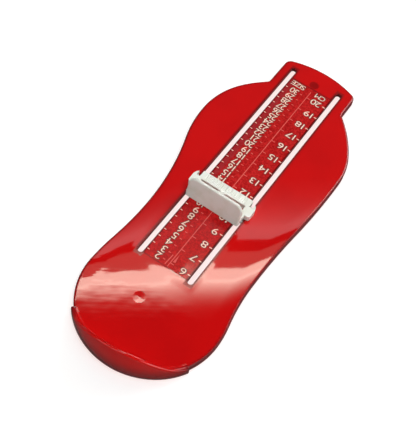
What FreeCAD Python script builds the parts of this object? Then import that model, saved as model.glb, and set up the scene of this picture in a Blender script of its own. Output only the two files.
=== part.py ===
import FreeCAD, Part
import math
import os

# Foot gauge for small feet, in millimetres. X runs across the board, Y from heel to toe and Z up.
# Y is the foot length: zero is where the heel touches the cup. X is zero midway between the slots,
# and Z is zero on the surface that the board rests on.

# Board
plate_top = 4.5            # height of the surface that the foot stands on
plate_thickness = 2.2
rim_wall = 1.8             # turned-down rim
edge_round = 1.2           # round along the board's upper edge
heel_x = 6.55              # centre of the round heel: it sits to one side, as a sole's heel does
heel_y = 37.4
heel_radius = 39.3
waist_left = (-30.05, 79.3)
waist_right = (41.95, 75.0)
ball_left = (-42.95, 157.0)
ball_right = (46.65, 159.7)
neck_left_y = 196.8        # where the forefoot meets the tab
neck_right_y = 201.7
shoulder_heading = 48.0    # degrees in from +Y, at the neck
right_balances = (2.0, 1.1, 1.5)   # of the bends from heel to waist, waist to ball and ball to neck
left_balances = (2.0, 2.0, 0.7)    # from neck to ball, ball to waist and waist to heel
tab_left = -23.15
tab_right = 24.45
tab_corner_y = 218.6       # where the tab's sides would meet its bowed end
tab_end_y = 223.6
tab_corner_round = 4.5
neck_round = 2.2           # inside corner between the forefoot and the tab

# Heel cup
cup_outer_radius = 40.7
cup_height = 19.5          # above the plate, at the back
cup_axis = 7.0             # degrees from straight back to the middle of the cup, towards +X
cup_reach = 54.0           # degrees from its middle to each end
cup_end_height = 1.3
cup_fall = 1.25            # over 1 keeps the rim level for longer beside the middle
cup_wall = 2.6             # at the top
cup_bulge = 0.067          # the outer wall's swell for each millimetre of its height
cup_low_crest = 0.65       # share of the wall's height that its rounded crest takes where it is low
cup_skirt_wall = 3.4       # below the plate
cup_cove = 0.3             # the inner hollow's width for each millimetre of the wall's height
cup_cove_start = 0.5       # the hollow's width where the wall runs out
cup_sections = 15

# Slots and scale
slot_x = 15.65             # centre line, on both sides
slot_width = 3.2
slot_start = 55.6
slot_end = 214.6
slot_chamfer = 0.3
strip_half_width = 13.7
strip_start = 56.8
strip_end = 207.4
strip_recess = 0.5
strip_thickness = 0.4
strip_corner = 1.0
strip_gap = 0.1            # round the strip, in its recess

# Dimples on the centre line: very shallow dishes
dimples = ((34.6, 0.06), (210.9, 0.12))   # each one's Y and depth
dimple_radius = 3.3

# Slider
reading = 98.8             # the toe plate's foot, as a foot length
running_gap = 0.25         # slider to board, above and below
toe_width = 33.6
toe_height = 14.3
toe_lean = 2.6             # how far the top sits behind the foot
toe_thickness = 1.6
toe_corner = 5.0
toe_edge_round = 0.9       # along the side that the toes meet
toe_edge_chamfer = 0.3     # along the back
shoe_outer = 19.85         # half the width over the side shoes
shoe_front = 6.4           # shoe's front end, behind the toe plate's foot
slider_back = 17.0         # rear edge, behind the toe plate's foot
shoe_height = 3.6
shoe_front_corner = 1.6
shoe_rear_corner = 5.5
window_half_width = 14.2
bar_depth = 5.3
notch_inner = 16.0         # open cut between the thumb bar and each shoe
notch_outer = 18.1
notch_depth = 4.4
gusset_width = 3.0
gusset_height = 13.0
gusset_bite = 0.4          # how far the web runs into the thumb bar
grip_count = 19
grip_pitch = 1.4
grip_width = 0.9
grip_depth = 0.35
grip_margin = 0.6          # plain strip before and behind the grip ribs
leg_half_width = 1.3
leg_length = 2.4
leg_places = (8.3, 11.4)   # centres, behind the toe plate's foot
leg_lead_in = 0.3
leg_recess = 0.15          # how far the leg's tip stays inside the keeper
hook_reach = 0.45
hook_height = 0.7
hook_edge = 0.15

# Keeper
keeper_half_width = 19.2
keeper_front = 5.4
keeper_back = 17.0
keeper_thickness = 1.4
keeper_corner = 2.0
leg_fit = 0.15

plate_under = plate_top - plate_thickness
strip_floor = plate_top - strip_recess
shoe_under = plate_top + running_gap
shoe_top = shoe_under + shoe_height
slider_rear = reading + slider_back
bar_front = slider_rear - bar_depth
keeper_top = plate_under - running_gap
keeper_under = keeper_top - keeper_thickness
leg_tip = keeper_under + leg_recess
hook_top = leg_tip + hook_height
overrun = 1.0              # how far a cut or a joined piece runs past the face that it meets
near = 0.01                # two measures closer than this are taken as equal


def point(x, y, z=0.0):
    return FreeCAD.Vector(x, y, z)


def prism(wire, bottom, top):
    face = Part.Face(wire)
    face.translate(point(0, 0, bottom))
    return face.extrude(point(0, 0, top - bottom))


def block(x0, x1, y0, y1, z0, z1):
    return Part.makeBox(x1 - x0, y1 - y0, z1 - z0, point(x0, y0, z0))


def profile(corners, along):
    """Solid with the given corners as its section, pulled along a direction."""
    return Part.Face(Part.makePolygon(corners + corners[:1])).extrude(along)


def lowest_face(solid):
    return min(solid.Faces, key=lambda f: f.CenterOfMass.z)


def is_upright(edge):
    box = edge.BoundBox
    return box.ZLength > box.XLength + box.YLength + near and box.XLength < near and box.YLength < near


def rounded_rectangle(x0, x1, y0, y1, radius):
    solid = block(x0, x1, y0, y1, 0, 1)
    rounded = solid.makeFillet(radius, [e for e in solid.Edges if is_upright(e)])
    return lowest_face(rounded).OuterWire


def arc_between(start, corner, end):
    """Arc that touches the lines from its start to the corner and from the corner to its end."""
    weight = start.distanceToPoint(end) / (2 * start.distanceToPoint(corner))
    middle = (start + end + corner * (2 * weight)) / (2 + 2 * weight)
    return Part.Arc(start, middle, end).toShape()


def bend(start, start_heading, end, end_heading, balance):
    """Two arcs that meet smoothly and leave both points at a heading in degrees from +Y.

    The balance is the second arc's tangent length over the first one's.
    """
    first, last = point(*start), point(*end)
    leaving = point(math.sin(math.radians(start_heading)), math.cos(math.radians(start_heading)))
    arriving = point(math.sin(math.radians(end_heading)), math.cos(math.radians(end_heading)))
    span = last - first
    square = 2 * balance * (1 - leaving.dot(arriving))
    linear = 2 * (span.dot(leaving) + balance * span.dot(arriving))
    if square < near ** 2:
        reach = span.dot(span) / linear
    else:
        reach = (math.sqrt(linear ** 2 + 4 * square * span.dot(span)) - linear) / (2 * square)
    first_corner = first + leaving * reach
    last_corner = last - arriving * (balance * reach)
    joint = (first_corner * balance + last_corner) / (1 + balance)
    return [arc_between(first, first_corner, joint), arc_between(joint, last_corner, last)]


def sole_outline():
    """The board seen from above, counter-clockwise from the heel, with sharp tab corners."""
    heel_left = (heel_x - heel_radius, heel_y)
    heel_right = (heel_x + heel_radius, heel_y)
    neck_left = (tab_left, neck_left_y)
    neck_right = (tab_right, neck_right_y)
    corner_left = point(tab_left, tab_corner_y)
    corner_right = point(tab_right, tab_corner_y)
    tab_end = point((tab_left + tab_right) / 2, tab_end_y)
    heel_back = point(heel_x, heel_y - heel_radius)
    edges = [Part.Arc(point(*heel_left), heel_back, point(*heel_right)).toShape()]
    edges += bend(heel_right, 0, waist_right, 0, right_balances[0])
    edges += bend(waist_right, 0, ball_right, 0, right_balances[1])
    edges += bend(ball_right, 0, neck_right, -shoulder_heading, right_balances[2])
    edges += [Part.LineSegment(point(*neck_right), corner_right).toShape(),
              Part.Arc(corner_right, tab_end, corner_left).toShape(),
              Part.LineSegment(corner_left, point(*neck_left)).toShape()]
    edges += bend(neck_left, 180 + shoulder_heading, ball_left, 180, left_balances[0])
    edges += bend(ball_left, 180, waist_left, 180, left_balances[1])
    edges += bend(waist_left, 180, heel_left, 180, left_balances[2])
    return Part.Wire(edges)


def board_blank():
    """The outline pulled up to the plate's top, with the tab and its neck rounded."""
    solid = prism(sole_outline(), 0, plate_top)
    tab_corners = [e for e in solid.Edges if is_upright(e) and abs(e.CenterOfMass.y - tab_corner_y) < near]
    solid = solid.makeFillet(tab_corner_round, tab_corners)
    necks = [e for e in solid.Edges if is_upright(e)
             and min(abs(e.CenterOfMass.y - neck_left_y), abs(e.CenterOfMass.y - neck_right_y)) < near]
    return solid.makeFillet(neck_round, necks)


def board_shell():
    """Plate with a turned-down rim and a rounded upper edge."""
    blank = board_blank()
    hollow = lowest_face(blank).makeOffset2D(-rim_wall)
    hollow.translate(point(0, 0, -overrun))
    hollow = hollow.extrude(point(0, 0, plate_under + overrun))
    upper = [e for e in blank.Edges if e.BoundBox.ZMin > plate_top - near]
    return blank.makeFillet(edge_round, upper).cut(hollow)


def cup_rim_height(angle):
    """Height of the cup's rim above the plate, at an angle from its middle."""
    share = min(abs(angle) / cup_reach, 1.0)
    fall = 0.5 + 0.5 * math.cos(math.pi * share ** cup_fall)
    return cup_end_height + (cup_height - cup_end_height) * fall


def bezier(poles):
    curve = Part.BezierCurve()
    curve.setPoles(poles)
    return curve.toShape()


def cup_section(angle):
    """The cup's wall, cut by an upright plane through the heel's centre."""
    height = cup_rim_height(angle)
    crest_height = min(cup_wall / 2, height * cup_low_crest)
    shoulder = plate_top + height - crest_height
    over_crest = shoulder + crest_height * 4 / 3   # a cubic reaches 3/4 of the way to its two middle poles
    swell = cup_bulge * shoulder / 2
    outer = cup_outer_radius - swell
    inner = cup_outer_radius - cup_wall
    hollow_end = inner - cup_cove * height - cup_cove_start
    skirt = cup_outer_radius - cup_skirt_wall
    sunk = (plate_top + plate_under) / 2
    heading = math.radians(angle + cup_axis)

    def at(radius, z):
        return point(heel_x + radius * math.sin(heading), heel_y - radius * math.cos(heading), z)

    wall = bezier([at(outer, 0), at(outer + 2 * swell, shoulder / 2), at(outer, shoulder)])
    leaning = outer - 2 * cup_bulge * (over_crest - shoulder)
    crest = bezier([at(outer, shoulder), at(leaning, over_crest), at(inner, over_crest), at(inner, shoulder)])
    hollow = bezier([at(inner, shoulder), at(inner, plate_top), at(hollow_end, plate_top)])
    below = [at(hollow_end, plate_top), at(hollow_end, sunk), at(skirt, sunk), at(skirt, 0), at(outer, 0)]
    lines = [Part.LineSegment(a, b).toShape() for a, b in zip(below, below[1:])]
    return Part.Wire([wall, crest, hollow] + lines)


def heel_cup():
    step = 2 * cup_reach / (cup_sections - 1)
    sections = [cup_section(-cup_reach + step * i) for i in range(cup_sections)]
    return Part.makeLoft(sections, True, False)


def slot_ring(x, growth, height):
    half = slot_width / 2 + growth
    ring = rounded_rectangle(x - half, x + half, slot_start - growth, slot_end + growth, half - near)
    ring.translate(point(0, 0, height))
    return ring


def slot(x):
    """A through slot with round ends and a small chamfer at its mouth."""
    through = prism(slot_ring(x, 0, 0), -overrun, plate_top + overrun)
    throat = slot_ring(x, 0, plate_top - slot_chamfer)
    mouth = slot_ring(x, slot_chamfer, plate_top)
    return through.fuse(Part.makeLoft([throat, mouth], True, True))


def dimple(y, depth):
    """Low cap of a large ball, cut off short of the cup."""
    ball_radius = (dimple_radius ** 2 + depth ** 2) / (2 * depth)
    ball = Part.makeSphere(ball_radius, point(0, y, plate_top + ball_radius - depth))
    reach = Part.makeCylinder(dimple_radius + overrun, 2 * overrun, point(0, y, plate_top - overrun))
    return ball.common(reach)


def strip_outline(growth):
    return rounded_rectangle(-strip_half_width - growth, strip_half_width + growth,
                             strip_start - growth, strip_end + growth, strip_corner)


def foot_board():
    body = board_shell().fuse(heel_cup())
    cuts = [slot(-slot_x), slot(slot_x), prism(strip_outline(strip_gap), strip_floor, plate_top + overrun)]
    cuts += [dimple(y, depth) for y, depth in dimples]
    return body.cut(cuts)


def scale_strip():
    return prism(strip_outline(0), strip_floor, strip_floor + strip_thickness)


def toe_plate_edges(plate, y):
    """Edges round the upright plate's top and sides, on its face at a given Y."""
    return [e for e in plate.Edges if e.BoundBox.YLength < near and abs(e.CenterOfMass.y - y) < near
            and e.CenterOfMass.z > 0]


def toe_plate():
    """Upright plate with rounded top corners, leaning back a little."""
    half = toe_width / 2
    length = math.hypot(toe_height, toe_lean)
    plate = block(-half, half, 0, toe_thickness, -overrun, length)
    top_edges = [e for e in plate.Edges if e.CenterOfMass.z > length - near]
    plate = plate.makeFillet(toe_corner, [e for e in top_edges if abs(e.CenterOfMass.x) > half - near])
    plate = plate.makeFillet(toe_edge_round, toe_plate_edges(plate, 0))
    plate = plate.makeChamfer(toe_edge_chamfer, toe_plate_edges(plate, toe_thickness))
    plate.rotate(point(0, 0, 0), point(1, 0, 0), -math.degrees(math.atan2(toe_lean, toe_height)))
    plate.translate(point(0, reading, shoe_under))
    below = block(-toe_width, toe_width, reading - overrun, slider_rear, 0, shoe_under)
    return plate.cut(below)


def slider_blank():
    """Outline of the shoes and the thumb bar, with its rear corners drawn well in."""
    solid = block(-shoe_outer, shoe_outer, reading + shoe_front, slider_rear, shoe_under, shoe_top)
    rear_corners = [e for e in solid.Edges if is_upright(e) and e.CenterOfMass.y > slider_rear - near]
    solid = solid.makeFillet(shoe_rear_corner, rear_corners)
    front_corners = [e for e in solid.Edges if is_upright(e) and e.CenterOfMass.y < reading + shoe_front + near]
    return solid.makeFillet(shoe_front_corner, front_corners)


def slider_frame():
    """Flat frame behind the toe plate: side rails, shoes over the slots and the thumb bar."""
    rail = toe_width / 2
    rails = block(-rail, rail, reading + toe_thickness / 2, reading + shoe_front + shoe_front_corner,
                  shoe_under, shoe_top)
    bottom = shoe_under - overrun
    top = shoe_top + overrun
    window = block(-window_half_width, window_half_width, reading + toe_thickness, bar_front, bottom, top)
    notch_start = slider_rear - notch_depth
    notches = [block(x, x + notch_outer - notch_inner, notch_start, slider_rear + overrun, bottom, top)
               for x in (-notch_outer, notch_inner)]
    return slider_blank().fuse(rails).cut([window] + notches)


def grip_groove(x):
    """V-shaped groove across the thumb bar's top."""
    front = bar_front + grip_margin
    back = slider_rear - grip_margin
    section = [point(x - grip_width, front, shoe_top + grip_depth), point(x, front, shoe_top - grip_depth),
               point(x + grip_width, front, shoe_top + grip_depth)]
    return profile(section, point(0, back - front, 0))


def gusset():
    """Web from the toe plate's back down to the thumb bar."""
    lean = toe_lean * gusset_height / toe_height
    front = toe_thickness / 2
    end = slider_back - bar_depth + gusset_bite
    side = [(front, 0), (front + lean, gusset_height), (toe_thickness + lean, gusset_height),
            (end, shoe_height - gusset_bite), (end, 0)]
    corners = [point(-gusset_width / 2, reading + y, shoe_under + z) for y, z in side]
    return profile(corners, point(gusset_width, 0, 0))


def leg(side, y):
    """Snap leg through a slot, with a hook at its end that faces outwards."""
    inner = slot_x - leg_half_width
    outer = slot_x + leg_half_width
    root = shoe_under + overrun
    start = reading + y - leg_length / 2
    section = [(inner, root), (inner, leg_tip), (outer - leg_lead_in, leg_tip),
               (outer + hook_reach, hook_top - hook_edge), (outer + hook_reach, hook_top),
               (outer, hook_top), (outer, root)]
    return profile([point(side * x, start, z) for x, z in section], point(0, leg_length, 0))


def toe_slider():
    legs = [leg(side, y) for side in (-1, 1) for y in leg_places]
    grooves = [grip_groove((i - (grip_count - 1) / 2) * grip_pitch) for i in range(grip_count)]
    return toe_plate().fuse([slider_frame(), gusset()] + legs).cut(grooves).removeSplitter()


def leg_window(side, y, reach, bottom, top):
    """Opening in the keeper for a leg, as wide as the leg and a reach beyond it."""
    inner = slot_x - leg_half_width - leg_fit
    outer = slot_x + leg_half_width + reach + leg_fit
    x0, x1 = sorted((side * inner, side * outer))
    start = reading + y - leg_length / 2 - leg_fit
    return block(x0, x1, start, start + leg_length + 2 * leg_fit, bottom, top)


def slider_keeper():
    """Plate under the board, with stepped windows for the slider's hooks."""
    wire = rounded_rectangle(-keeper_half_width, keeper_half_width, reading + keeper_front,
                             reading + keeper_back, keeper_corner)
    windows = []
    for side in (-1, 1):
        for y in leg_places:
            windows.append(leg_window(side, y, 0, keeper_under - overrun, keeper_top + overrun))
            windows.append(leg_window(side, y, hook_reach, keeper_under - overrun, hook_top))
    return prism(wire, keeper_under, keeper_top).cut(windows)


os.makedirs("parts", exist_ok=True)
pieces = {
    "foot_board": foot_board,
    "scale_strip": scale_strip,
    "toe_slider": toe_slider,
    "slider_keeper": slider_keeper,
}
for name, build in pieces.items():
    shape = build()
    shape.exportStep(f"parts/{name}.step")
    print(name, len(shape.Solids), "solid", round(shape.Volume), "mm3", shape.isValid())
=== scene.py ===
import bmesh
import bpy
import math
from mathutils import Matrix, Vector

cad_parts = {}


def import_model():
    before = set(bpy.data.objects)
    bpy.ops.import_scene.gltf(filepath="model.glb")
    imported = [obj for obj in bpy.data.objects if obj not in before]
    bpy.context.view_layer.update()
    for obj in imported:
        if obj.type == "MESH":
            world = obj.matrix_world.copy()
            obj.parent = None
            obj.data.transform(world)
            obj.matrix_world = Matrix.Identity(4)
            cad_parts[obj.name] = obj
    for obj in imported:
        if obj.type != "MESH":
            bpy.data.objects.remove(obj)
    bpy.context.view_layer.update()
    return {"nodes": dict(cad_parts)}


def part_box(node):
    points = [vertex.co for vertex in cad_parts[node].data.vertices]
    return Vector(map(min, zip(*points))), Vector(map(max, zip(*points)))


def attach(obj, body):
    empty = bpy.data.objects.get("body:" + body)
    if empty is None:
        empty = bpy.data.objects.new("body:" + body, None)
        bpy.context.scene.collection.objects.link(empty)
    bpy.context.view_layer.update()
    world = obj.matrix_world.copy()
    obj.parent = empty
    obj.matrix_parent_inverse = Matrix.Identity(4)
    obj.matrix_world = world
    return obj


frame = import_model()
nodes = frame["nodes"]
mm = 0.001                                   # a millimetre, in the frame's metres
shadeSamples = 8                             # rays that an Ambient Occlusion node sends out
print("frame loaded:", ", ".join(sorted(nodes)))


class Signal:
    # A number that varies over a surface. Sums and products of signals add their own Math nodes.
    def __init__(self, finish, socket):
        self.finish = finish
        self.socket = socket

    def join(self, operation, first, second):
        return self.finish.node("ShaderNodeMath", {"operation": operation}, {0: first, 1: second})

    def __add__(self, other):
        return self.join("ADD", self, other)

    def __radd__(self, other):
        return self.join("ADD", other, self)

    def __sub__(self, other):
        return self.join("SUBTRACT", self, other)

    def __rsub__(self, other):
        return self.join("SUBTRACT", other, self)

    def __mul__(self, other):
        return self.join("MULTIPLY", self, other)

    def __rmul__(self, other):
        return self.join("MULTIPLY", other, self)

    def __pow__(self, other):
        return self.join("POWER", self, other)


class Finish:
    # The nodes of a material or of the world, with one method that adds any other node
    def __init__(self, owner, surface="Principled BSDF"):
        owner.use_nodes = True
        self.owner = owner
        self.tree = owner.node_tree
        self.surface = self.tree.nodes[surface]

    def node(self, kind, settings=None, inputs=None, output=0):
        made = self.tree.nodes.new(kind)
        for name, value in (settings or {}).items():
            setattr(made, name, value)
        for name, value in (inputs or {}).items():
            self.feed(made.inputs[name], value)
        return Signal(self, made.outputs[output])

    def feed(self, socket, value):
        if isinstance(value, Signal):
            self.tree.links.new(value.socket, socket)
        else:
            socket.default_value = value

    def place(self):
        return self.node("ShaderNodeTexCoord", output="Object")

    def axes(self, vector):
        split = self.node("ShaderNodeSeparateXYZ", {}, {0: vector}).socket.node
        return [Signal(self, socket) for socket in split.outputs]

    def absolute(self, value):
        return self.node("ShaderNodeMath", {"operation": "ABSOLUTE"}, {0: value})

    def larger(self, first, second):
        return self.node("ShaderNodeMath", {"operation": "MAXIMUM"}, {0: first, 1: second})

    def ramp(self, value, low, high):
        # 0 below the low value, 1 above the high one
        limits = {"Value": value, "From Min": low, "From Max": high}
        return self.node("ShaderNodeMapRange", {"interpolation_type": "SMOOTHSTEP"}, limits)

    def fade(self, length, low, high):
        # The same for a length in metres, between two lengths in millimetres
        return self.ramp(length, low * mm, high * mm)

    def noise(self, vector, size, detail=2.0, roughness=0.5):
        # Size is that of one patch of the noise, in millimetres
        inputs = {"Vector": vector, "Scale": 1 / (size * mm), "Detail": detail, "Roughness": roughness}
        return self.node("ShaderNodeTexNoise", {}, inputs)

    def patches(self, vector, size, detail, roughness, low, high):
        # Soft patches: 0 where the noise is under the low value, 1 where it is over the high one
        return self.ramp(self.noise(vector, size, detail, roughness), low, high)

    def waves(self, vector, size, height, detail):
        return self.noise(vector, size, detail) * height

    def turned(self, vector, heading, along, across):
        # The place seen from axes turned by a heading in degrees, and scaled along and across it
        turn = {"Vector": vector, "Rotation": (0, 0, math.radians(-heading))}
        level = self.node("ShaderNodeMapping", {}, turn)
        return self.node("ShaderNodeMapping", {}, {"Vector": level, "Scale": (along, across, 1.0)})

    def blend(self, share, first, second):
        # The Mix node's colour inputs are its sockets 6 and 7, and its colour output is socket 2
        colours = {"Factor": share, 6: first, 7: second}
        return self.node("ShaderNodeMix", {"data_type": "RGBA"}, colours, 2)

    def bump(self, relief, under=None):
        # The relief is in millimetres, on top of another bump where one is given
        inputs = {"Height": relief, "Distance": mm, "Strength": 1.0}
        if under is not None:
            inputs["Normal"] = under
        return self.node("ShaderNodeBump", {}, inputs)

    def constants(self, **values):
        for name, value in values.items():
            self.surface.inputs[name.replace("_", " ")].default_value = value

    def outputs(self, colour, roughness, normal):
        self.feed(self.surface.inputs["Base Color"], colour)
        self.feed(self.surface.inputs["Roughness"], roughness)
        self.feed(self.surface.inputs["Normal"], normal)
        return self.owner


def rgb(red, green, blue):
    # Screen colour, 0 to 255, as the linear colour that shaders take
    def linear(value):
        share = value / 255
        return share / 12.92 if share <= 0.04045 else ((share + 0.055) / 1.055) ** 2.4
    return (linear(red), linear(green), linear(blue), 1.0)


def grey(shade):
    return (shade, shade, shade, 1.0)


# In the dictionaries of finishes, patches are size, detail, roughness and the two noise values between
# which they grow, and waves are size, height and detail. Pairs of X, Y or heights are where a change
# starts and ends. Lengths are in millimetres and turns in degrees.

boardLook = {
    "red": rgb(201, 8, 9),
    "deepRed": rgb(193, 7, 9),
    "cloud": (30, 3, 0.5, 0.35, 0.7),        # patches of the deeper red
    "gloss": 0.028,                          # roughness of the clean plastic; each "dull" adds to it
    "scuffs": (5.5, 5, 0.62, 0.62, 0.78),    # patches
    "scuffTurn": (28, 9.0, 1.2),             # their heading, and their scale along and across it
    "scuffDull": 0.05,

    "edgeShadeRed": rgb(116, 8, 10),
    "edge": (4.3, 4.49),                     # heights over which the painted shade on the upper edge ends
    "cupEdge": (0.3, 1.2),                   # the same round the heel cup
    "cupEnd": (8, 20),                       # Y over which the cup's heights pass into the board's
    "edgeDull": 0.4,
    "slot": (15.65, 2.3, 2.9),               # X of a slot's middle, and how far from it its painted shade fades
    "slotEnds": (53.2, 216.9, 1),            # Y of the dark edges' ends, and their soft length
    "slotShade": 0.6,
    "slotDull": 0.25,
    "dimpleShadeRed": rgb(142, 1, 3),
    "dimple": (210.9, 2.2, 3.4),             # Y of the tab's dimple, and its painted dark spot's inner and outer radius
    "dimpleShade": 0.85,
    "rimShadeRed": rgb(120, 20, 24),
    "rim": (2.1, 0.6, 1.0),                  # reach of the soft painted shade inside the edges, and the openness where it is full and where it is gone
                                             # full and where it is gone

    # Painted shading of the cup's outer wall: dark at its foot, light towards its crest
    "wallShadeReds": (rgb(142, 9, 8), rgb(226, 14, 10)),
    "wall": (1, 17),                         # heights over which the painted shading of the cup's outer wall gets lighter
    "wallFacing": (0.4, 0.8),                # how squarely it faces outwards, for none and all of its colour
    "wallEnd": 0.7,                          # share of the heel's length where its colour starts to end
    "crest": (5, 9),                         # heights over which the cup gets duller
    "crestDull": 0.05,

    "swell": (30, 0.012, 1),                 # slow waves left by moulding
    "heelSwell": (9, 0.03, 1),               # livelier waves round the heel
    "streaks": (26, 3.2, 0.011, 1),          # the heel's fine streaks: length, width, height and detail
    "streakHeading": 36,
    "heelEnd": (36, 50),                     # Y over which waves and streaks end
    "lip": (50, 56.5, 0.022),                # slow rise towards the strip: from, to, and its height
    "lipSides": (17, 21),                    # X over which it ends
    "peel": (1.6, 0.0004, 2),                # fine orange peel
    "crown": (9, 0.09),                      # the board falls away over this width, by this height
    "crownMiddle": 6.3,                      # X of the outline's middle from the heel to the waist
    "crownHeel": (37.4, 39.3),               # Y where the round heel ends, and half the width there
    "crownWaist": (77.0, 36.0),              # the same at the waist
}


def boardShade(finish, x, y, z):
    # Shares of painted shade: along the board's upper edge, along the slots, and in the tab's dimple
    look = boardLook
    atCup = 1 - finish.fade(y, *look["cupEnd"])

    def height(onBoard, onCup):
        return onBoard * mm - atCup * ((onBoard - onCup) * mm)

    # Painted shade on the board's upper edge and on the cup's lower wall
    low, high = [height(*pair) for pair in zip(look["edge"], look["cupEdge"])]
    edge = 1 - finish.ramp(z, low, high)
    # Painted shade along the slots' edges and walls
    middle, inner, outer = look["slot"]
    beside = finish.absolute(finish.absolute(x) - middle * mm)
    start, end, soft = look["slotEnds"]
    along = finish.fade(y, start, start + soft) * (1 - finish.fade(y, end - soft, end))
    slot = (1 - finish.fade(beside, inner, outer)) * along
    # A painted dark spot of shade in the tab's dimple
    middle, inner, outer = look["dimple"]
    reach = (x ** 2.0 + (y - middle * mm) ** 2.0) ** 0.5
    dimple = 1 - finish.fade(reach, inner, outer)
    return edge, slot * look["slotShade"], dimple * look["dimpleShade"]


def boardRim(finish):
    # Share of soft painted shade inside every edge, found by how near the plastic's own walls are
    reach, full, gone = boardLook["rim"]
    settings = {"samples": shadeSamples, "inside": True, "only_local": True}
    openness = finish.node("ShaderNodeAmbientOcclusion", settings, {"Distance": reach * mm}, "AO")
    return 1 - finish.ramp(openness, full, gone)


def cupWall(finish, x, y):
    # 1 on the outer side of the wall round the heel, 0 on its inner side and on the board's floor; it
    # carries the wall's painted shading
    look = boardLook
    outwardX, outwardY = finish.axes(finish.node("ShaderNodeTexCoord", output="Normal"))[:2]
    middleX = look["crownMiddle"] * mm
    middleY, radius = [length * mm for length in look["crownHeel"]]
    facing = (x - middleX) * outwardX + (y - middleY) * outwardY
    start, full = look["wallFacing"]
    ahead = finish.ramp(y, middleY * look["wallEnd"], middleY)
    return finish.ramp(facing, radius * start, radius * full) * (1 - ahead)


def boardCrown(finish, x, y):
    # How far the surface falls away near the outline, in millimetres
    look = boardLook
    width, fall = look["crown"]
    heelY, heelHalf = look["crownHeel"]
    waistY, waistHalf = look["crownWaist"]
    fromHeel = finish.larger(y, heelY * mm)
    bend = (heelHalf - waistHalf) * mm / ((waistY - heelY) * mm) ** 2
    half = (fromHeel - waistY * mm) ** 2.0 * bend + waistHalf * mm
    reach = ((x - look["crownMiddle"] * mm) ** 2.0 + (y - fromHeel) ** 2.0) ** 0.5
    near = finish.larger((reach - half) * (1 / (width * mm)) + 1.0, 0.0)
    return near ** 2.0 * fall


def boardRelief(finish, place, x, y):
    # The surface's slow shapes and fine texture, as heights in millimetres
    look = boardLook
    length, width, height, detail = look["streaks"]
    streakPlace = finish.turned(place, look["streakHeading"], 1 / length, 1 / width)
    lively = finish.waves(place, *look["heelSwell"]) + finish.waves(streakPlace, 1, height, detail)
    atHeel = 1 - finish.fade(y, *look["heelEnd"])
    start, end, lipHeight = look["lip"]
    lip = finish.fade(y, start, end) * (1 - finish.fade(finish.absolute(x), *look["lipSides"]))
    return (finish.waves(place, *look["swell"]) + finish.waves(place, *look["peel"])
            + lively * atHeel + lip * lipHeight - boardCrown(finish, x, y))


def boardPlastic():
    look = boardLook
    finish = Finish(bpy.data.materials.new("boardPlastic"))
    place = finish.place()
    x, y, z = finish.axes(place)
    edge, slot, dimple = boardShade(finish, x, y, z)
    crest = finish.fade(z, *look["crest"])
    # The cup's outer wall gets painted shade at its foot and painted light towards its crest
    wallShadedRed = finish.blend(finish.fade(z, *look["wall"]), *look["wallShadeReds"])
    colour = finish.blend(finish.patches(place, *look["cloud"]), look["red"], look["deepRed"])
    colour = finish.blend(cupWall(finish, x, y), colour, wallShadedRed)
    # Painted shade: soft dark rims inside the edges, dark upper and slot edges, a dark spot in the tab's
    # dimple
    colour = finish.blend(boardRim(finish) * (1 - crest), colour, look["rimShadeRed"])
    colour = finish.blend(finish.larger(edge, slot), colour, look["edgeShadeRed"])
    colour = finish.blend(dimple, colour, look["dimpleShadeRed"])
    scuffs = finish.patches(finish.turned(place, *look["scuffTurn"]), *look["scuffs"])
    roughness = (look["gloss"] + scuffs * look["scuffDull"] + edge * (1 - dimple) * look["edgeDull"]
                 + slot * look["slotDull"] + crest * look["crestDull"])
    finish.constants(IOR=1.5, Specular_IOR_Level=0.5)
    return finish.outputs(colour, roughness, finish.bump(boardRelief(finish, place, x, y)))


stripLook = {
    "red": rgb(156, 5, 9),
    "wornRed": rgb(220, 30, 31),
    "sheenRed": rgb(150, 11, 14),              # the same two beyond the slider's usual place, greyer with a painted sheen
    "sheenWorn": rgb(217, 43, 42),
    "far": (100, 116),                       # Y over which the film gets to its part with the painted sheen
    "wear": (8, 4, 0.6, 0.45, 0.8),          # patches
    "grain": (1.0, 3, 0.7, 0.3, 0.7),        # patches, as fine as the print's grain
    "wornShares": (0.3, 0.7),                # of the wear and of the grain in the worn colour
    "gloss": 0.1,
    "wearDull": 0.06,
    "stain": rgb(142, 46, 52),               # along the left edge of the part with the painted sheen
    "stainEnd": (-11.2, -8.8),               # X
    "stainShares": (0.5, 0.3),               # of the grain, and everywhere
    "marginShadeRed": rgb(110, 6, 9),
    "margin": (12.9, 13.5),                  # X over which painted shade darkens the strip's side edges
    "ripple": (7, 0.016, 1),                 # waves of the film
    "fine": (0.25, 0.001, 2),                # waves, as fine as its texture
    "liftHeight": 0.25,                      # its lower end stands up by this much
    "lift": (50, 70),                        # Y over which it comes down
    "liftSide": (7, 11),                     # X over which it comes down
}


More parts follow.
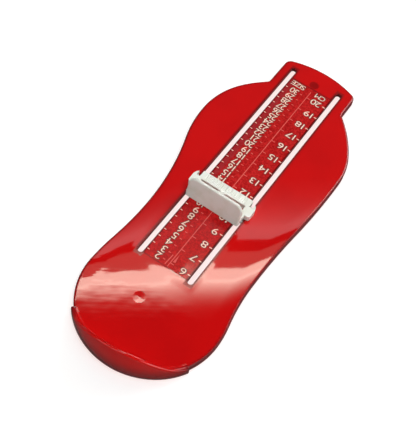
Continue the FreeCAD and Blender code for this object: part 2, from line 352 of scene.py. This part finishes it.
def stripFilm():
    look = stripLook
    finish = Finish(bpy.data.materials.new("scaleFilm"))
    place = finish.place()
    x, y = finish.axes(place)[:2]
    wear = finish.patches(place, *look["wear"])
    grain = finish.patches(place, *look["grain"])
    # Beyond the slider's usual place the film's colours are greyer, a painted sheen of mirrored light
    far = finish.fade(y, *look["far"])
    fresh = finish.blend(far, look["red"], look["sheenRed"])
    worn = finish.blend(far, look["wornRed"], look["sheenWorn"])
    ofWear, ofGrain = look["wornShares"]
    colour = finish.blend(wear * ofWear + grain * ofGrain, fresh, worn)
    ofGrain, everywhere = look["stainShares"]
    stain = (1 - finish.fade(x, *look["stainEnd"])) * far * (grain * ofGrain + everywhere)
    colour = finish.blend(stain, colour, look["stain"])
    # Painted shade along the strip's side edges, beside the slots
    colour = finish.blend(finish.fade(finish.absolute(x), *look["margin"]), colour, look["marginShadeRed"])
    roughness = look["gloss"] + wear * look["wearDull"]
    lift = (1 - finish.fade(y, *look["lift"])) * (1 - finish.fade(x, *look["liftSide"]))
    ripple = finish.bump(finish.waves(place, *look["ripple"]) + lift * look["liftHeight"])
    finish.constants(IOR=1.38, Specular_IOR_Level=0.3)
    return finish.outputs(colour, roughness, finish.bump(finish.waves(place, *look["fine"]), ripple))


sliderLook = {
    "pale": rgb(233, 235, 229),
    "warm": rgb(224, 227, 217),
    "tint": (6, 3, 0.5, 0.4, 0.72),          # patches of the warmer white
    "gloss": 0.3,
    "uneven": (3, 0.12, 3),                  # waves in its roughness
    "grain": (0.18, 0.004, 2),               # waves
    "wave": (7, 0.02, 1),                    # waves
}


def sliderPlastic():
    look = sliderLook
    finish = Finish(bpy.data.materials.new("sliderPlastic"))
    place = finish.place()
    colour = finish.blend(finish.patches(place, *look["tint"]), look["pale"], look["warm"])
    roughness = look["gloss"] + finish.waves(place, *look["uneven"])
    grain = finish.bump(finish.waves(place, *look["grain"]))
    finish.constants(IOR=1.48)
    return finish.outputs(colour, roughness, finish.bump(finish.waves(place, *look["wave"]), grain))


inkLook = {
    "creamInk": (rgb(253, 216, 198), rgb(238, 168, 152)),    # each ink where it is solid, and where thin
    "paleRedInk": (rgb(216, 84, 76), rgb(206, 50, 46)),
    "darkInk": (rgb(72, 4, 6), rgb(122, 6, 10)),
    "thin": (0.9, 3, 0.7, 0.5, 0.75),        # patches
    "gloss": 0.4,
    "thinDull": 0.1,
    "grain": (0.2, 0.002, 2),                # waves
}


def printInk(name):
    look = inkLook
    finish = Finish(bpy.data.materials.new(name))
    place = finish.place()
    thin = finish.patches(place, *look["thin"])
    colour = finish.blend(thin, *look[name])
    roughness = look["gloss"] + thin * look["thinDull"]
    finish.constants(IOR=1.45)
    return finish.outputs(colour, roughness, finish.bump(finish.waves(place, *look["grain"])))


def dress(name, material):
    node = nodes[name]
    node.data.materials.clear()
    node.data.materials.append(material)


dress("foot_board", boardPlastic())
dress("scale_strip", stripFilm())
whitePlastic = sliderPlastic()
dress("toe_slider", whitePlastic)
dress("slider_keeper", whitePlastic)
print("finishes made")


stripLow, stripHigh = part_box("scale_strip")
scalePrint = {                               # lengths in millimetres, turns in degrees
    "inkHeight": 0.02,
    "spacing": 0.82,                         # between digits, against the font's own
    "smoothness": 4,                         # steps of each curve in a digit
    "outline": 0.056,                        # how far the dark outline stands out, against the font's size
    "digitHeight": 4.1,
    "numberSink": 0.4,                       # how far a number's middle sits below its round value
    "markSink": 0.2,                         # how far its marks do

    "centimetres": range(6, 21),
    "centimetreStep": 10.0,
    "centimetreX": 10.7,                     # where the numbers start; they run towards -X
    "centimetreWidth": 1.28,                 # of a digit, against the font's own
    "centimetreMark": (12.9, 1.7, 0.5),      # X of its middle, length and thickness
    "centimetreTick": (2.3, 2.2, 0.5),       # the same, beside the centre line
    "sizes": range(2, 31),
    "firstSizeY": 60.0,
    "sizeStep": 5.0,
    "sizeX": -4.85,
    "sizeWidths": (1.2, 1.06),               # of a digit alone and of one of a pair
    "sizeMark": (-12.7, 1.3, 0.4),
    "sizeTick": (-2.7, 1.4, 0.5),
    "headings": [("SIZE", -3.2, 9.0), ("CM", 10.8, 6.4)],    # word, start and width
    "headingY": 205.0,
    "headingHeight": 3.4,

    "centreLine": (1.1, 0.4, 205.0, 0.5),    # X, gap from the strip's end, end and thickness
    "startLine": (-0.55, 61.1, 0.55, 7.0, -3.0),             # its middle, thickness, length and turn
    "startTriangle": [(1.9, 61.0), (3.3, 61.2), (2.4, 66.5)],
}


def addObject(name, sheet, material):
    mesh = bpy.data.meshes.new(name)
    sheet.to_mesh(mesh)
    sheet.free()
    mesh.materials.append(material)
    made = bpy.data.objects.new(name, mesh)
    bpy.context.scene.collection.objects.link(made)
    return made


def addPrint(name, sheet, material, body):
    bmesh.ops.recalc_face_normals(sheet, faces=sheet.faces)
    piece = addObject(name, sheet, material)
    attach(piece, body)


def addBar(sheet, x, y, width, length, angle=0.0):
    # A printed bar: its middle, its size along X and Y, and its turn
    height = scalePrint["inkHeight"] * mm
    size = Matrix.Diagonal((width * mm, length * mm, height, 1))
    turn = Matrix.Rotation(math.radians(angle), 4, "Z")
    middle = Matrix.Translation((x * mm, y * mm, stripHigh.z + height / 2))
    bmesh.ops.create_cube(sheet, size=1, matrix=middle @ turn @ size)


def textMesh(text, offset):
    words = bpy.data.curves.new("words", "FONT")
    words.body = text
    words.resolution_u = scalePrint["smoothness"]
    words.extrude = 1
    words.space_character = scalePrint["spacing"]
    words.offset = offset
    holder = bpy.data.objects.new("words", words)
    mesh = bpy.data.meshes.new_from_object(holder)
    bpy.data.objects.remove(holder)
    bpy.data.curves.remove(words)
    return mesh


def addText(sheet, text, start, y, height, stretch=1.0, width=None, outlined=False):
    # Words that are read from the toe end. They start at an X and run towards -X. The outline has
    # the plain words' place and size, and half their thickness, so that they stand above it.
    mesh = textMesh(text, 0.0)
    across = [vertex.co.x for vertex in mesh.vertices]
    upward = [vertex.co.y for vertex in mesh.vertices]
    tall = height * mm / (max(upward) - min(upward))
    wide = width * mm / (max(across) - min(across)) if width else tall * stretch
    thick = scalePrint["inkHeight"] * mm / 2
    if outlined:
        bpy.data.meshes.remove(mesh)
        mesh = textMesh(text, scalePrint["outline"])
        thick = thick / 2
    centred = Matrix.Translation((-min(across), -(max(upward) + min(upward)) / 2, 0))
    size = Matrix.Diagonal((-wide, -tall, thick, 1))
    mesh.transform(Matrix.Translation((start * mm, y * mm, stripHigh.z + thick)) @ size @ centred)
    sheet.from_mesh(mesh)
    bpy.data.meshes.remove(mesh)


def centimetreRows():
    # Each number and its Y
    step = scalePrint["centimetreStep"]
    return [(number, number * step) for number in scalePrint["centimetres"]]


def sizeRows():
    first, step = scalePrint["firstSizeY"], scalePrint["sizeStep"]
    return [(number, first + row * step) for row, number in enumerate(scalePrint["sizes"])]


def addNumbers(sheet, outlined):
    look = scalePrint
    height = look["digitHeight"]
    sink = look["numberSink"]
    for number, y in centimetreRows():
        stretch = look["centimetreWidth"]
        addText(sheet, str(number), look["centimetreX"], y - sink, height, stretch, outlined=outlined)
    for number, y in sizeRows():
        stretch = look["sizeWidths"][len(str(number)) - 1]
        addText(sheet, str(number), look["sizeX"], y - sink, height, stretch, outlined=outlined)
    y, height = look["headingY"], look["headingHeight"]
    for word, start, width in look["headings"]:
        addText(sheet, word, start, y, height, width=width, outlined=outlined)


def addMarks(sheet, rows, x, length, thickness):
    for number, y in rows:
        addBar(sheet, x, y - scalePrint["markSink"], length, thickness)


def numerals():
    sheet = bmesh.new()
    addNumbers(sheet, False)
    addMarks(sheet, centimetreRows(), *scalePrint["centimetreMark"])
    addMarks(sheet, sizeRows(), *scalePrint["sizeMark"])
    addPrint("scaleNumerals", sheet, printInk("creamInk"), "board")
    shade = bmesh.new()
    addNumbers(shade, True)
    addPrint("numeralOutlines", shade, printInk("darkInk"), "board")


def guideLines():
    # The centre line and its ticks. At its heel end stand a slanted line and a narrow triangle.
    look = scalePrint
    x, gap, end, thickness = look["centreLine"]
    start = stripLow.y / mm + gap
    sheet = bmesh.new()
    addBar(sheet, x, (start + end) / 2, thickness, end - start)
    addMarks(sheet, centimetreRows(), *look["centimetreTick"])
    addMarks(sheet, sizeRows(), *look["sizeTick"])
    addBar(sheet, *look["startLine"])
    top = stripHigh.z + look["inkHeight"] * mm
    sheet.faces.new([sheet.verts.new((x * mm, y * mm, top)) for x, y in look["startTriangle"]])
    addPrint("scaleLines", sheet, printInk("paleRedInk"), "board")


numerals()
guideLines()
print("scale printed")


studioFloor = {                              # lengths in metres, shades and glows from 0 to 1
    "seen": 0.5,                             # shade that the camera sees lit, with the glow on top of it
    "glow": 0.66,
    "farGlow": 1.0,
    "fade": (0.24, 0.45),                    # how far from the middle the one glow becomes the other
    "paintedContactShade": (1.0, 0.78, 0.76, 1.0),         # painted contact shade, tinted by the red bounce light, that the object throws on the floor close to it
    "paintedShadeReach": 0.012,
    "paintedShadeEnd": (0.2, 0.9),                  # openness over which that painted shade ends
    "felt": 0.19,                            # shade that lights the object from below and mirrors in it
    "roughness": 0.9,
    "halfSize": 3.0,
    "worldLight": 0.05,                      # brightness of the light all round
}


def floorWhite():
    # White for the camera, with the object's soft shadow and a painted pink contact shade on it, and a
    # darker table for the object
    look = studioFloor
    finish = Finish(bpy.data.materials.new("floorWhite"))
    finish.constants(Base_Color=grey(look["seen"]), Roughness=look["roughness"], Specular_IOR_Level=0.0)
    lit = Signal(finish, finish.surface.outputs[0])
    reach = finish.node("ShaderNodeVectorMath", {"operation": "LENGTH"}, {0: finish.place()}, "Value")
    glowing = finish.blend(finish.ramp(reach, *look["fade"]), grey(look["glow"]), grey(look["farGlow"]))
    glow = finish.node("ShaderNodeEmission", {}, {"Color": glowing})
    # A painted pink contact shade near the object, where its walls hem the floor in
    paintedContactShade = finish.node("ShaderNodeEmission", {}, {"Color": look["paintedContactShade"]})
    near = {"Distance": look["paintedShadeReach"]}
    openness = finish.node("ShaderNodeAmbientOcclusion", {"samples": shadeSamples}, near, "AO")
    clear = finish.ramp(openness, *look["paintedShadeEnd"])
    seen = finish.node("ShaderNodeAddShader", {}, {0: lit, 1: glow})
    seen = finish.node("ShaderNodeMixShader", {}, {0: clear, 1: paintedContactShade, 2: seen})
    felt = finish.node("ShaderNodeBsdfDiffuse", {}, {"Color": grey(look["felt"])})
    camera = finish.node("ShaderNodeLightPath", output="Is Camera Ray")
    chosen = finish.node("ShaderNodeMixShader", {}, {0: camera, 1: felt, 2: seen})
    finish.feed(finish.tree.nodes["Material Output"].inputs["Surface"], chosen)
    return finish.owner


def floor():
    sheet = bmesh.new()
    bmesh.ops.create_grid(sheet, x_segments=1, y_segments=1, size=studioFloor["halfSize"])
    piece = addObject("floor", sheet, floorWhite())


def world():
    # Faint light all round, but plain white where the camera looks past the floor
    finish = Finish(bpy.data.worlds.new("studio"), "Background")
    camera = finish.node("ShaderNodeLightPath", output="Is Camera Ray")
    limits = {"Value": camera, "To Min": studioFloor["worldLight"]}
    strength = finish.node("ShaderNodeMapRange", {}, limits)
    finish.constants(Color=grey(1))
    finish.feed(finish.surface.inputs["Strength"], strength)
    bpy.context.scene.world = finish.owner


cameraPlace = {
    "azimuth": 23.803,
    "elevation": 57.244,
    "roll": 12.0,
    "distance": 0.46258,                     # metres, as the target
    "target": (-0.00062, 0.09723, 0.0045),
    "focalPixels": 866.64,
    "imageWidth": 416,
    "imageHeight": 424,
    "sensorWidth": 36.0,                     # millimetres
    "clipStart": 0.01,
}


def cameraTurn():
    place = cameraPlace
    return (Matrix.Rotation(math.radians(place["azimuth"]), 3, "Z")
            @ Matrix.Rotation(math.radians(90 - place["elevation"]), 3, "X")
            @ Matrix.Rotation(math.radians(place["roll"]), 3, "Z"))


def cameraPoint():
    return Vector(cameraPlace["target"]) + cameraTurn().col[2] * cameraPlace["distance"]


def makeCamera():
    place = cameraPlace
    data = bpy.data.cameras.new("camera")
    data.sensor_width = place["sensorWidth"]
    data.lens = place["focalPixels"] / place["imageHeight"] * data.sensor_width
    data.clip_start = place["clipStart"]
    camera = bpy.data.objects.new("camera", data)
    camera.matrix_world = Matrix.Translation(cameraPoint()) @ cameraTurn().to_4x4()
    bpy.context.scene.collection.objects.link(camera)
    bpy.context.scene.camera = camera


def addLamp(name, place, across, up, width, height, strength):
    # Strength is the lamp's brightness, where 1 is paper white
    data = bpy.data.lights.new(name, "AREA")
    data.shape = "RECTANGLE"
    data.size = width
    data.size_y = height
    data.energy = strength * math.pi * width * height
    lamp = bpy.data.objects.new(name, data)
    turn = Matrix((across, up, across.cross(up))).transposed()
    lamp.matrix_world = Matrix.Translation(place) @ turn.to_4x4()
    bpy.context.scene.collection.objects.link(lamp)
    return data


# Strip lamps stand where the board mirrors them to the camera, and are placed by rows and columns of its
# image. A strip is its first row, last row and brightness. A glow dies away over several strips. It is
# its first row, last row, number of strips, source row, brightness at the source, reach in rows, and
# how sharply it ends.

reflectedLamps = {
    "plateTop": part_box("scale_strip")[1].z + 0.1 * mm,       # the board stands that much above the strip
    "distance": 0.9,                         # metres from the board to the lamps
    "columns": (-120, 520),
    "tilt": 1.0,                             # degrees
    "warm": (1.0, 0.97, 0.81),
    "warmStrips": [(252, 268.5, 0.85), (268.5, 279.5, 10.6), (279.5, 283, 13.0)],
    "warmGlow": (283, 317, 12, 276, 12.0, 15.8, 2),
    "cool": (1.0, 1.0, 1.0),
    "coolStrips": [(40, 182, 0.07), (230, 240, 1.55)],
    "coolGlow": (182, 230, 12, 228, 1.45, 16.7, 1),
}


def mirroredView():
    # The camera as the board mirrors it: its place, its right, its up and the way that it looks
    turn = cameraTurn()
    eye = cameraPoint()
    eye.z = 2 * reflectedLamps["plateTop"] - eye.z
    flip = Matrix.Diagonal((1, 1, -1))
    return eye, flip @ turn.col[0], flip @ turn.col[1], flip @ -turn.col[2]


def glowStrips(first, last, count, source, brightness, reach, sharpness):
    step = (last - first) / count
    strips = []
    for index in range(count):
        top = first + index * step
        away = abs(top + step / 2 - source) / reach
        strips.append((top, top + step, brightness * math.exp(-away ** sharpness)))
    return strips


def stripLamps(tone):
    setup = reflectedLamps
    place = cameraPlace
    eye, right, up, forward = mirroredView()
    tilt = math.radians(setup["tilt"])
    across = right * math.cos(tilt) + up * math.sin(tilt)
    upward = up * math.cos(tilt) - right * math.sin(tilt)
    reach = place["distance"] + setup["distance"]
    perPixel = reach / place["focalPixels"]
    first, last = setup["columns"]
    width = (last - first) * perPixel
    aside = ((first + last) / 2 - place["imageWidth"] / 2) * perPixel
    strips = setup[f"{tone}Strips"] + glowStrips(*setup[f"{tone}Glow"])
    for index, (top, bottom, strength) in enumerate(strips):
        height = (bottom - top) * perPixel
        down = ((top + bottom) / 2 - place["imageHeight"] / 2) * perPixel
        middle = eye + forward * reach + across * aside - upward * down
        data = addLamp(f"{tone}Band{index}", middle, across, upward, width, height, strength)
        data.color = setup[tone]


softLamps = {
    # place and aim in metres, width and height, brightness, spread in degrees, and colour
    "mainLamp": ((0.2, -0.04, 1.2), (0, 0.18, 0), (0.5, 0.5), 1.03, 50, (1.0, 1.0, 1.0)),
    "backLamp": ((0.45, 1.15, 0.85), (0, 0.1, 0), (0.9, 0.9), 0.5, 50, (1.0, 1.0, 1.0)),
    "sideLamp": ((0.9, 0.0, 0.12), (0, 0.1, 0), (1.0, 0.2), 4.0, 180, (1.0, 1.0, 1.0)),
    "lowLamp": ((-0.2, -0.9, 0.125), (0, 0, 0.01), (1.2, 0.24), 2.85, 180, (0.93, 1.0, 0.94)),
}


def softLamp(name, place, target, size, strength, spread, colour):
    # A narrow spread keeps a lamp's light to where it is aimed
    back = (Vector(place) - Vector(target)).normalized()
    across = Vector((0, 0, 1)).cross(back).normalized()
    data = addLamp(name, Vector(place), across, back.cross(across), *size, strength)
    data.spread = math.radians(spread)
    data.color = colour


floor()
world()
makeCamera()
for tone in ("warm", "cool"):
    stripLamps(tone)
for name, lamp in softLamps.items():
    softLamp(name, *lamp)
bpy.context.scene.view_settings.view_transform = "Standard"
print("studio set")
